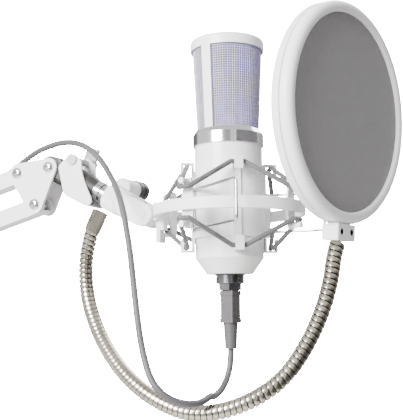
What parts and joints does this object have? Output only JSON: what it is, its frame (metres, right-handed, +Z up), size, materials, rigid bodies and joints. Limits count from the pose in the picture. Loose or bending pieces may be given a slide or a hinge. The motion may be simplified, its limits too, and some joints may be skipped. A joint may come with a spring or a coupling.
{
  "type": "desktop microphone on scissor arm",
  "caption": "Side-address studio microphone in an elastic shock mount on a parallelogram desk arm, with gooseneck pop filter, cable and table clamp.",
  "frame": {"origin": "middle of the clamp's seat, on the face that rests on the desk top", "axes": "+X from the clamp towards the microphone, +Y across the arm, +Z up"},
  "size_m": [0.6203, 0.1431, 0.7256],
  "materials": {
    "white_paint": "satin",
    "white_plastic": "satin",
    "grille_white": "satin woven wire",
    "chrome": "polished",
    "dark_chrome": "polished dark",
    "nickel": "satin",
    "dark_grey": "satin",
    "mid_grey": "matt",
    "cable_grey": "matt",
    "elastic_grey": "woven",
    "filter_fabric": "woven",
    "spring_steel": "bright",
    "board_green": "solder mask",
    "brass": "satin",
    "gold_film": "thin metallised film",
    "light_violet": "lit diffuser",
    "rubber_pad": "matt"
  },
  "bodies": {
    "clamp": {"clamp_frame": "white_paint"},
    "jaw_foot": {"clamp_foot": "rubber_pad"},
    "jaw_screw": {"clamp_screw": "chrome"},
    "lock_screw": {"lock_screw": "dark_grey"},
    "base": {"base_bracket": "white_paint", "base_bolts": "chrome"},
    "rear_upper": {"rear_upper_rail": "white_paint", "rear_spring": "spring_steel"},
    "rear_lower": {"rear_lower_rail": "white_paint"},
    "elbow": {"elbow_plates": "white_paint", "elbow_bolts": "chrome"},
    "front_upper": {"front_upper_rail": "white_paint", "front_spring": "spring_steel", "cable_arm": "cable_grey", "cable_coil": "cable_grey", "coil_strap": "elastic_grey", "computer_plug": "mid_grey"},
    "front_lower": {"front_lower_rail": "white_paint"},
    "head": {"head_plates": "white_paint", "head_bolts": "chrome"},
    "stem": {"swivel_barrel": "dark_grey", "stud_nut": "chrome", "thread_stud": "chrome", "tilt_fork": "white_plastic", "tilt_bolt": "white_plastic", "cable_over": "cable_grey"},
    "sleeve": {"thread_sleeve": "white_plastic"},
    "swivel_knob": {"swivel_knob": "dark_grey"},
    "pop_filter": {"pop_clamp": "white_paint", "neck_ferrule": "nickel", "gooseneck": "nickel", "filter_hoop_front": "white_plastic", "filter_hoop_back": "white_plastic", "filter_foot": "white_plastic", "foot_screws": "dark_grey", "filter_fabric": "filter_fabric"},
    "pop_screw": {"pop_clamp_screw": "mid_grey"},
    "mount": {"suspension_ring": "white_plastic", "ring_posts": "white_plastic", "ring_bracket": "white_plastic", "upper_elastic": "elastic_grey", "lower_elastic": "elastic_grey", "cable_loop": "cable_grey"},
    "microphone": {"body_tube": "white_paint", "tail_cone": "white_paint", "trim_ring": "chrome", "grille_mesh": "grille_white", "grille_frame": "white_paint", "thread_ferrule": "dark_chrome", "lock_nut": "dark_chrome", "usb_socket": "chrome", "circuit_board": "board_green", "light_ring": "light_violet", "capsule_body": "brass", "capsule_diaphragms": "gold_film", "capsule_saddle": "dark_grey", "cradle": "white_plastic", "usb_plug": "mid_grey"},
    "front_handle": {"front_handle": "chrome"},
    "side_handle": {"side_handle": "chrome"}
  },
  "joints": [
    {"name": "base_swivel", "type": "hinge", "parent": "clamp", "child": "base", "pos_m": [0, 0, 0.036], "axis": [0, 0, 1], "range_deg": [-170, 170]},
    {"name": "rear_arm_lift", "type": "hinge", "parent": "base", "child": "rear_upper", "pos_m": [-0.014, 0, 0.075], "axis": [0, -1, 0], "range_deg": [-40, 25]},
    {"name": "rear_lower_follow", "type": "hinge", "parent": "base", "child": "rear_lower", "pos_m": [0.014, 0, 0.075], "axis": [0, -1, 0], "range_deg": [-40, 25]},
    {"name": "elbow_follow", "type": "hinge", "parent": "rear_upper", "child": "elbow", "pos_m": [-0.08261, 0, 0.39779], "axis": [0, -1, 0], "range_deg": [-25, 40]},
    {"name": "front_arm_lift", "type": "hinge", "parent": "elbow", "child": "front_upper", "pos_m": [-0.06151, 0, 0.44529], "axis": [0, -1, 0], "range_deg": [-40, 60]},
    {"name": "front_lower_follow", "type": "hinge", "parent": "elbow", "child": "front_lower", "pos_m": [-0.04601, 0, 0.42099], "axis": [0, -1, 0], "range_deg": [-40, 60]},
    {"name": "head_follow", "type": "hinge", "parent": "front_upper", "child": "head", "pos_m": [0.25725, 0, 0.5307], "axis": [0, -1, 0], "range_deg": [-60, 40], "deforming": ["cable_arm"]},
    {"name": "head_tilt", "type": "hinge", "parent": "head", "child": "stem", "pos_m": [0.28445, 0, 0.5332], "axis": [0, -1, 0], "range_deg": [-25, 60], "deforming": ["cable_over"]},
    {"name": "mount_tilt", "type": "hinge", "parent": "stem", "child": "mount", "pos_m": [0.36125, 0, 0.49407], "axis": [0, -1, 0], "range_deg": [-20, 50], "deforming": ["cable_loop"]},
    {"name": "suspension", "type": "slide", "parent": "mount", "child": "microphone", "axis": [0, 0, 1], "range_m": [-0.003, 0.003], "stiffness_N_per_m": 1500, "springref_m": 0.002, "deforming": ["upper_elastic", "lower_elastic"]},
    {"name": "front_handle_squeeze", "type": "hinge", "parent": "microphone", "child": "front_handle", "pos_m": [0.40444, -0.01881, 0.49407], "axis": [0, 0, 1], "range_deg": [0, 8], "stiffness_Nm_per_rad": 0.2},
    {"name": "side_handle_squeeze", "type": "hinge", "parent": "microphone", "child": "side_handle", "pos_m": [0.41909, 0.02627, 0.49407], "axis": [0, 0, 1], "range_deg": [-8, 0]},
    {"name": "pop_clamp_turn", "type": "hinge", "parent": "stem", "child": "pop_filter", "pos_m": [0.28445, 0, 0.5332], "axis": [0.891, 0, -0.454], "range_deg": [-25, 25]},
    {"name": "pop_screw_turn", "type": "hinge", "parent": "pop_filter", "child": "pop_screw", "pos_m": [0.30559, 0, 0.53724], "axis": [0, 1, 0], "continuous": true},
    {"name": "knob_turn", "type": "hinge", "parent": "stem", "child": "swivel_knob", "pos_m": [0.34072, 0, 0.51631], "axis": [0, 1, 0], "continuous": true},
    {"name": "sleeve_turn", "type": "hinge", "parent": "stem", "child": "sleeve", "pos_m": [0.33346, 0, 0.50823], "axis": [0.891, 0, -0.454], "continuous": true},
    {"name": "lock_screw_turn", "type": "hinge", "parent": "clamp", "child": "lock_screw", "pos_m": [0.02, 0, 0.023], "axis": [1, 0, 0], "continuous": true},
    {"name": "jaw_travel", "type": "slide", "parent": "clamp", "child": "jaw_foot", "axis": [0, 0, 1], "range_m": [-0.0155, 0.012]},
    {"name": "jaw_screw_turn", "type": "hinge", "parent": "jaw_foot", "child": "jaw_screw", "pos_m": [0, 0, -0.09], "axis": [0, 0, -1], "range_deg": [-2791, 2160]}
  ],
  "couplings": [
    {"joint": "rear_lower_follow", "follows": "rear_arm_lift", "ratio": 1},
    {"joint": "elbow_follow", "follows": "rear_arm_lift", "ratio": -1},
    {"joint": "front_lower_follow", "follows": "front_arm_lift", "ratio": 1},
    {"joint": "head_follow", "follows": "front_arm_lift", "ratio": -1},
    {"joint": "side_handle_squeeze", "follows": "front_handle_squeeze", "ratio": -1},
    {"joint": "jaw_screw_turn", "follows": "jaw_travel", "rad_per_m": 3141.6}
  ]
}
